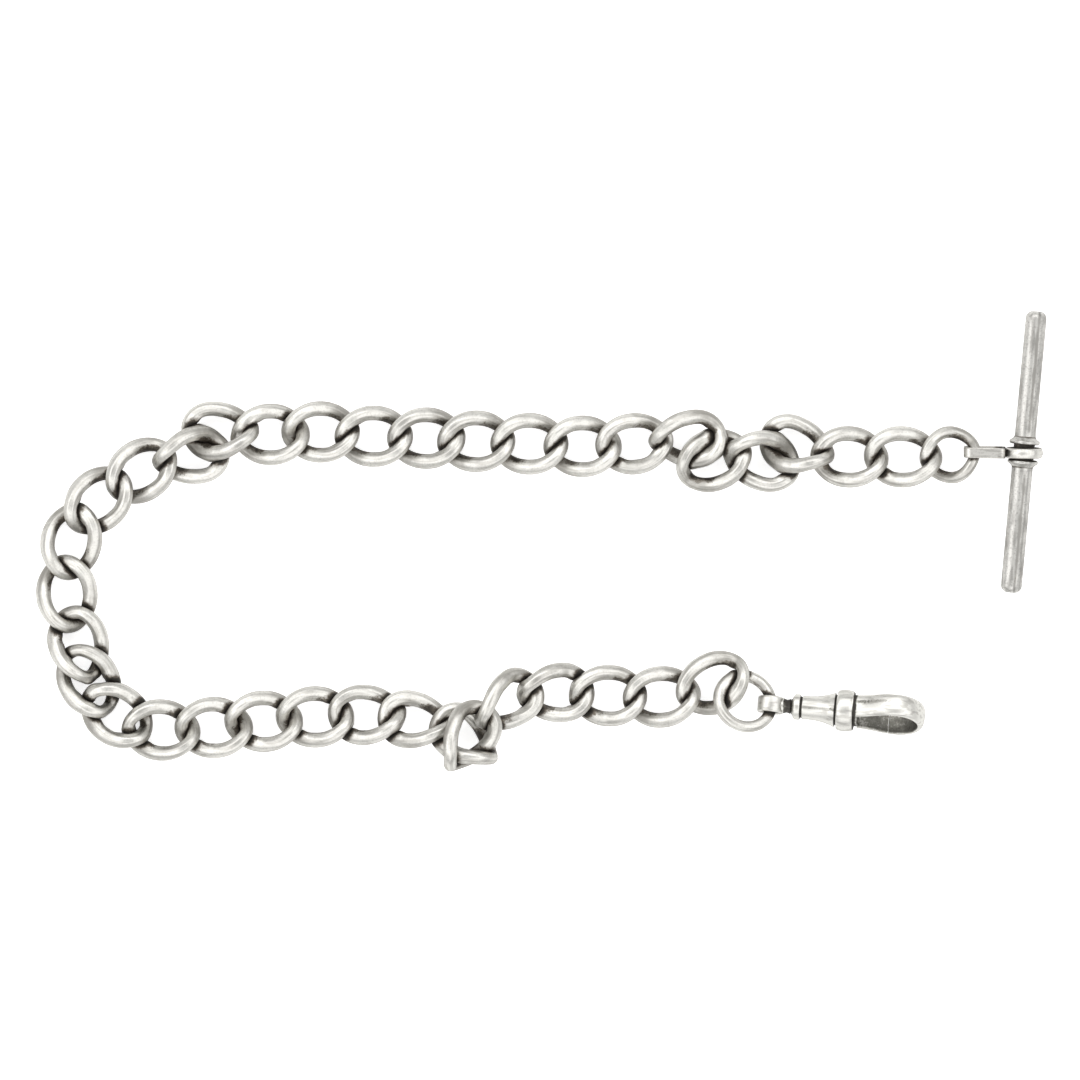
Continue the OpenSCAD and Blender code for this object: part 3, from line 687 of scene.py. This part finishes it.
hook = {
    "at": (48.9, -27.3), "heading": -4.4, "pitch": 4.6, "roll": 68.0, "swivelRoll": -8.0,
    "collarRadius": 3.35, "collarHalf": 1.35, "barrelLength": 5.25, "barrelRadius": 1.88, "flareRadius": 2.78,
    "capRadius": 2.05, "groove": 0.35, "capWidth": 1.0, "coneWidth": 0.4,
    "neckRadius": 1.22, "neckLength": 1.6,
    "reach": 12.8, "halfWide": 4.175, "halfRoot": 2.575, "bandThickness": 1.15, "bandWidth": 3.6,
    "seamAt": 6.8, "seamGap": 0.25, "pinOff": 2.25, "pinRadius": 0.45, "pinLength": 4.6,
    "topAngle": 22.0, "reflectionLineAt": -0.37, "slotWidth": 2.2, "slotFloor": 0.75, "tongueWidth": 1.9,
    "swivelRadius": 2.1, "swivelHalf": 1.3, "swivelHole": 1.5,
}
hook["wideAt"] = hook["reach"] - hook["bandThickness"] / 2 - hook["halfWide"]
hook["barrelEnd"] = -hook["collarHalf"] - hook["groove"]
hook["capEnd"] = hook["barrelEnd"] - hook["barrelLength"]
hook["neckAt"] = hook["capEnd"] - hook["groove"] - hook["capWidth"] - hook["coneWidth"]
hook["ringAt"] = hook["neckAt"] - hook["neckLength"] - hook["swivelRadius"] + 0.35


def hookPlace(roll=hook["roll"]):
    lean = np.radians(hook["roll"])
    low = hook["halfWide"] * np.sin(lean) + hook["bandWidth"] / 2 * np.cos(lean) + 0.25
    height = low - hook["wideAt"] * np.sin(np.radians(hook["pitch"]))
    turn = turnAbout("z", hook["heading"]) @ turnAbout("y", -hook["pitch"]) @ turnAbout("x", roll)
    return {"turn": turn, "at": np.array([*hook["at"], height]) - tableMiddle}


def hookPoints():  # points round the swivel's ring, for the tarnish and painted shade of the ring that hangs in it
    a = np.linspace(0.0, 2 * np.pi, 40)[:, None]
    y = np.linspace(-0.8, 0.8, 5)[None, :]
    middle = (hook["swivelRadius"] + hook["swivelHole"]) / 2
    ring = np.stack([hook["ringAt"] + middle * np.cos(a) + 0 * y, y + 0 * a, middle * np.sin(a) + 0 * y], -1)
    place = hookPlace(hook["swivelRoll"])
    return ring.reshape(-1, 3) @ place["turn"].T + place["at"]


alongX = np.array([[0, 0, 1], [0, 1, 0], [-1, 0, 0]])  # turns a shape made about Z so that its axis is X


# Half distance between the arms: a cosine ease from the collar to the widest place
def armHalf(u):
    share = (u - hook["collarHalf"]) / (hook["wideAt"] - hook["collarHalf"])
    return hook["halfRoot"] + (hook["halfWide"] - hook["halfRoot"]) * (1 - np.cos(np.pi * share)) / 2


# The band's section: flat inside with soft corners and half round outside
def bandSection():
    t, w = hook["bandThickness"], hook["bandWidth"]
    a = np.radians(np.linspace(0, 180, 25))
    outer = np.stack([t * (0.62 * signedPower(np.sin(a), 0.8) - 0.12),
                      w / 2 * signedPower(np.cos(a), 0.8)], -1)
    inner = np.stack([np.full(13, -t / 2), np.linspace(-w / 2 + 0.35, w / 2 - 0.35, 13)], -1)
    soft = [[-t / 2 + 0.03, w / 2 - 0.2], [-t / 2 + 0.12, w / 2 - 0.06], [-t / 2 + 0.26, w / 2]]
    return np.concatenate([[[k[0], -k[1]] for k in soft[::-1]], inner, soft, outer[1:-1]])


def bodyProfile():  # radius and place along the axis of the cap, barrel and collar
    s = np.linspace(0, 1, 22)
    barrel, wide = hook["barrelRadius"], hook["flareRadius"]
    flare = barrel + (wide - barrel) * s ** 2.5
    collarCorner = 0.45
    face, edge = hook["collarHalf"], hook["collarRadius"] - collarCorner
    a = np.radians(np.linspace(-90, 90, 25))
    neck, cap, deep = hook["neckRadius"], hook["capRadius"], hook["groove"]
    neckAt, capEnd, barrelEnd = hook["neckAt"], hook["capEnd"], hook["barrelEnd"]
    capFrom, capTo = neckAt + hook["coneWidth"], capEnd - hook["groove"]
    return np.array([[0.02, neckAt], [neck - 0.05, neckAt], [neck, neckAt + 0.05],
                     [cap - 0.16, capFrom], [cap - 0.03, capFrom + 0.1], [cap, capFrom + 0.2],
                     [cap, capTo - 0.12], [cap - 0.05, capTo - 0.03], [cap - 0.12, capTo],
                     [cap - deep, capTo + 0.02], [cap - deep, capEnd - 0.02],
                     [barrel - 0.1, capEnd], [barrel - 0.02, capEnd + 0.03]]
                    + np.stack([flare, capEnd + 0.08 + (hook["barrelLength"] - 0.16) * s], -1).tolist()
                    + [[wide - 0.03, barrelEnd - 0.02], [wide - 0.1, barrelEnd],
                       [wide - deep, barrelEnd + 0.02], [wide - deep, -face - 0.02]]
                    + np.stack([edge + collarCorner * np.cos(a) ** 0.8, face * np.sin(a)], -1).tolist()
                    + [[wide - deep, face + 0.01], [0.02, face + 0.02]])


def box(low, high):  # a plain box as two rings of four
    (x0, y0, z0), (x1, y1, z1) = low, high
    ring = np.array([[x0, y0], [x1, y0], [x1, y1], [x0, y1]])
    return np.stack([np.concatenate([ring, np.full((4, 1), z)], 1) for z in (z0, z1)])


# Painted reflections of a dark thing overhead: soft dark lines that run along the top of the barrel and of
# the near arm, and a spot on the collar
def darkReflectionMask(local, onArm):
    x, around = local[:, 0], np.degrees(np.arctan2(local[:, 2], local[:, 1]))
    barrel = softRise(-np.abs(around - hook["topAngle"]), -13.0, -3.0)
    barrel = barrel * (x > hook["capEnd"]) * (x < hook["barrelEnd"])
    arm = softRise(-np.abs(local[:, 2] - hook["reflectionLineAt"]), -0.6, -0.12)
    arm = arm * softRise(-x, -8.6, -6.0) * (local[:, 1] > 0)
    spot = softRise(-np.hypot(x - 0.2, (around - hook["topAngle"] + 6) * 0.058), -0.42, 0.0)
    return np.where(onArm, arm, np.maximum(0.8 * barrel, 0.7 * spot))


# Black in the grooves and at the neck, tarnish and painted shade in these hollows, each with its place on the
# axis, half width and outer radius
def bodyMasks(local):
    x = local[:, 0]
    radius = np.hypot(local[:, 1], local[:, 2])
    touch = np.zeros(len(x))
    for middle, half, floor in ((hook["capEnd"] - 0.175, 0.22, 1.9), (hook["barrelEnd"] + 0.175, 0.22, 2.62),
                                (hook["collarHalf"] + 0.1, 0.16, 9.0), (hook["neckAt"] + 0.05, 0.3, 1.7)):
        groove = softRise(-np.abs(x - middle), -half - 0.1, -half + 0.08)
        touch = np.maximum(touch, groove * softRise(floor - radius, -0.12, 0.06))
    return touch


def makeHookBody(material):
    place = hookPlace()
    profile = bodyProfile()
    body = revolve(profile[:, 0], profile[:, 1], 96) @ alongX.T
    root = revolve([2.42, 2.42], [hook["collarHalf"] - 0.1, hook["collarHalf"] + 0.6], 48) @ alongX.T
    u = np.linspace(hook["collarHalf"] - 0.2, hook["wideAt"], 60)
    a = np.radians(np.linspace(90, -90, 72))[1:-1]
    far = np.linspace(hook["wideAt"], hook["seamAt"], 14)
    path = np.concatenate([np.stack([u, armHalf(u)], -1),
                           hook["halfWide"] * np.stack([np.cos(a), np.sin(a)], -1) + [hook["wideAt"], 0],
                           np.stack([far, -armHalf(far)], -1)])
    arm = sweep(path, bandSection(), False)
    nearRoot = fuse("root", makeMesh("root", [(root, False, True)], place),
                    [makeMesh("cut", [(box((0, -5.6, -4), (4, -0.6, 4)), False, True)], place)], "DIFFERENCE")
    mesh = fuse("clip_body", makeMesh("body", [(body, False, True)], place),
                [nearRoot, makeMesh("arm", [(arm[:, ::-1], False, True)], place)])
    slot = box((-2.6, -hook["collarRadius"] - 1, -hook["slotWidth"] / 2),
               (hook["collarHalf"] + 1, -hook["slotFloor"], hook["slotWidth"] / 2))
    mesh = fuse("clip_body", mesh, [makeMesh("slot", [(slot, False, True)], place)], "DIFFERENCE")
    local, normals = meshPoints(mesh, place)
    x = local[:, 0]
    onArm = x > hook["collarHalf"] + 0.05
    centre = np.stack([np.clip(x, 0, hook["wideAt"]), 0 * x, local[:, 2]], -1)
    inward = (unit(centre - local + 1e-6) * normals).sum(1)
    # painted shade with tarnish: faces of the arms that look inward are darker, and the arms' roots by the
    # collar are near black
    inner = np.where(onArm, softRise(inward, 0.3, 0.8), 0.0)
    touch = np.maximum(bodyMasks(local), np.where(onArm, 0.5 * inner, 0.0))
    armRoot = softRise(-x, -hook["collarHalf"] - 0.9, -hook["collarHalf"] - 0.2)
    touch = np.maximum(touch, np.where(onArm, 0.9 * armRoot, 0.0))
    grain = np.where(onArm[:, None], local * [0.45, 4.0, 4.0], local * [0.4, 4.5, 4.5])
    # the painted reflection lines make these places grey and dark
    darkReflection = darkReflectionMask(local, onArm) * (1 - inner)
    addMasks(mesh, worn=1.0 - 0.5 * inner - 0.8 * darkReflection, inner=np.maximum(0.9 * inner, 0.66 * darkReflection),
             touch=touch, grainPlace=grain + [70.0, 0, 0], grainTurn=0 * x)
    addPiece("clip_body", mesh, material, "hook", "silver_hook", "hook_body")
    print("watch chain: hook's body made")


def makeLever(material):
    place = hookPlace()
    u = np.linspace(hook["seamAt"] - hook["seamGap"] + 0.12, hook["collarHalf"] + 0.45, 40)
    blade = sweep(np.stack([u, -armHalf(u)], -1), bandSection(), False)
    half, off = hook["tongueWidth"] / 2, hook["pinOff"]
    tongue = box((0, -off - 0.55, -half), (hook["collarHalf"] + 1.05, -off + 0.4, half))
    hub = revolve([0.95, 0.95], [-half - 0.01, half + 0.01], 40) - [0, off, 0]
    tail = box((-2.3, -off - 0.6, 0.01 - half), (0, -off + 0.2, half - 0.01))
    spur = box((-2.31, -hook["collarRadius"] - 0.1, 0.02 - half),
               (-1.55, -hook["collarRadius"] + 0.9, half - 0.02))
    parts = [makeMesh("part", [(grid, False, True)], place) for grid in (tongue, hub, tail, spur)]
    mesh = fuse("clip_lever", makeMesh("blade", [(blade[:, ::-1], False, True)], place), parts)
    hole = revolve([hook["pinRadius"] + 0.05] * 2, [-2.0, 2.0], 40) - [0, off, 0]
    mesh = fuse("clip_lever", mesh, [makeMesh("hole", [(hole, False, True)], place)], "DIFFERENCE")
    local, normals = meshPoints(mesh, place)
    x = local[:, 0]
    # painted shade with tarnish: the lever's inward faces are darker, and its tongue, hub, tail and spur by
    # the collar are near black
    inner = softRise(normals[:, 1], 0.3, 0.8)
    touch = np.maximum(0.5 * inner, 0.95 * softRise(-x, -hook["collarHalf"] - 0.9, -hook["collarHalf"] - 0.2))
    addMasks(mesh, worn=1.0 - 0.5 * inner, inner=0.9 * inner, touch=touch,
             grainPlace=local * [0.45, 4.0, 4.0], grainTurn=0 * x)
    addPiece("clip_lever", mesh, material, "lever", "silver_hook", "hook_lever")
    r, end = hook["pinRadius"], hook["pinLength"] / 2
    pin = revolve([0.02, r - 0.09, r - 0.01, r, r, r - 0.01, r - 0.09, 0.02],
                  [-end, 0.01 - end, 0.1 - end, 0.2 - end, end - 0.2, end - 0.1, end - 0.01, end], 32)
    pin = pin - [0, off, 0]
    mesh = makeMesh("lever_rivet", [(pin, False, True)], place)
    local, _ = meshPoints(mesh, place)
    flat = 0 * local[:, 0]
    addMasks(mesh, worn=flat + 0.6, inner=flat, touch=flat + 0.4, grainPlace=local * 4, grainTurn=flat)
    addPiece("lever_rivet", mesh, material, "hook", "silver_hook", "lever_pin")
    print("watch chain: lever and rivet made")


def makeSwivel(material):
    place = hookPlace(hook["swivelRoll"])
    r, w, hole = hook["swivelRadius"], hook["swivelHalf"], hook["swivelHole"]
    c, k = 0.3, 0.25  # corners outside and in the hole
    section = np.concatenate([arc((hole + k, -w + k), k, 180, 270, 6), arc((r - c, -w + c), c, -90, 0, 6),
                              arc((r - c, w - c), c, 0, 90, 6), arc((hole + k, w - k), k, 90, 180, 6)])
    ring = revolve(section[:, 0], section[:, 1], 72) @ turnAbout("x", 90).T + [hook["ringAt"], 0, 0]
    neckFrom = hook["neckAt"] - hook["neckLength"]
    stemTo = hook["neckAt"] + 3.0
    alongNeck = neckFrom + np.array([0, 0, 0.4, 0.55, 0.9, 1.2, 1.4, 1.5, 1.5])
    neck = revolve([0.02, 1.22, 1.22, 1.12, 1.05, 1.12, 1.2, 1.15, 0.6, 0.6, 0.02],
                   [*alongNeck, stemTo, stemTo], 48) @ alongX.T
    mesh = fuse("swivel_ring", makeMesh("ring", [(ring, True, False)], place),
                [makeMesh("neck", [(neck, False, True)], place)])
    local, _ = meshPoints(mesh, place)
    x = local[:, 0]
    apart = np.hypot(x - hook["ringAt"], local[:, 2])
    # painted shade with tarnish: the neck is near black, and so is the ring's bore where the hanging ring
    # passes
    neckBlack = softRise(x, hook["neckAt"] - 1.45, hook["neckAt"] - 1.15)
    touch = np.maximum(0.72 * neckBlack, 0.9 * softRise(-apart, -1.5, -1.36))
    addMasks(mesh, worn=0 * x + 0.9, inner=0 * x, touch=touch, grainPlace=local * [1.0, 4.0, 1.0],
             grainTurn=0 * x)
    addPiece("swivel_ring", mesh, material, "chain", "silver_hook", "swivel_eye")
    print("watch chain: swivel made")


makeCamera()
makeStudio()
groups["grain"], groups["knocks"], groups["tarnish"] = makeGrainGroup(), makeKnocksGroup(), makeTarnishAndShadeGroup()

floorMesh = bpy.data.meshes.new("floor")
side = studio["floorSize"] / 2
corners = [(-side, -side, 0), (side, -side, 0), (side, side, 0), (-side, side, 0)]
floorMesh.from_pydata(corners, [], [(0, 1, 2, 3)])
floorMesh.materials.append(floorFinish())
floor = bpy.data.objects.new("floor", floorMesh)
bpy.context.scene.collection.objects.link(floor)

makeLinks(silverFinish("linkSilver"))
makeBar(silverFinish("barSilver", bright=(0.64, 0.63, 0.60), grey=(0.29, 0.282, 0.265), gloss=0.38,
                     speckle=0.45, lineDepth=0.02, knockDepth=0.04, knockSize=2200.0))
makeBarEye(silverFinish("eyeSilver", lineDepth=0.008))
hookSilver = silverFinish("hookSilver", bright=(0.75, 0.74, 0.70), stainAndShade=(0.17, 0.165, 0.145), gloss=0.38,
                          speckle=0.15, lineDepth=0.006, knockDepth=0.007)
makeHookBody(hookSilver)
makeLever(hookSilver)
makeSwivel(hookSilver)
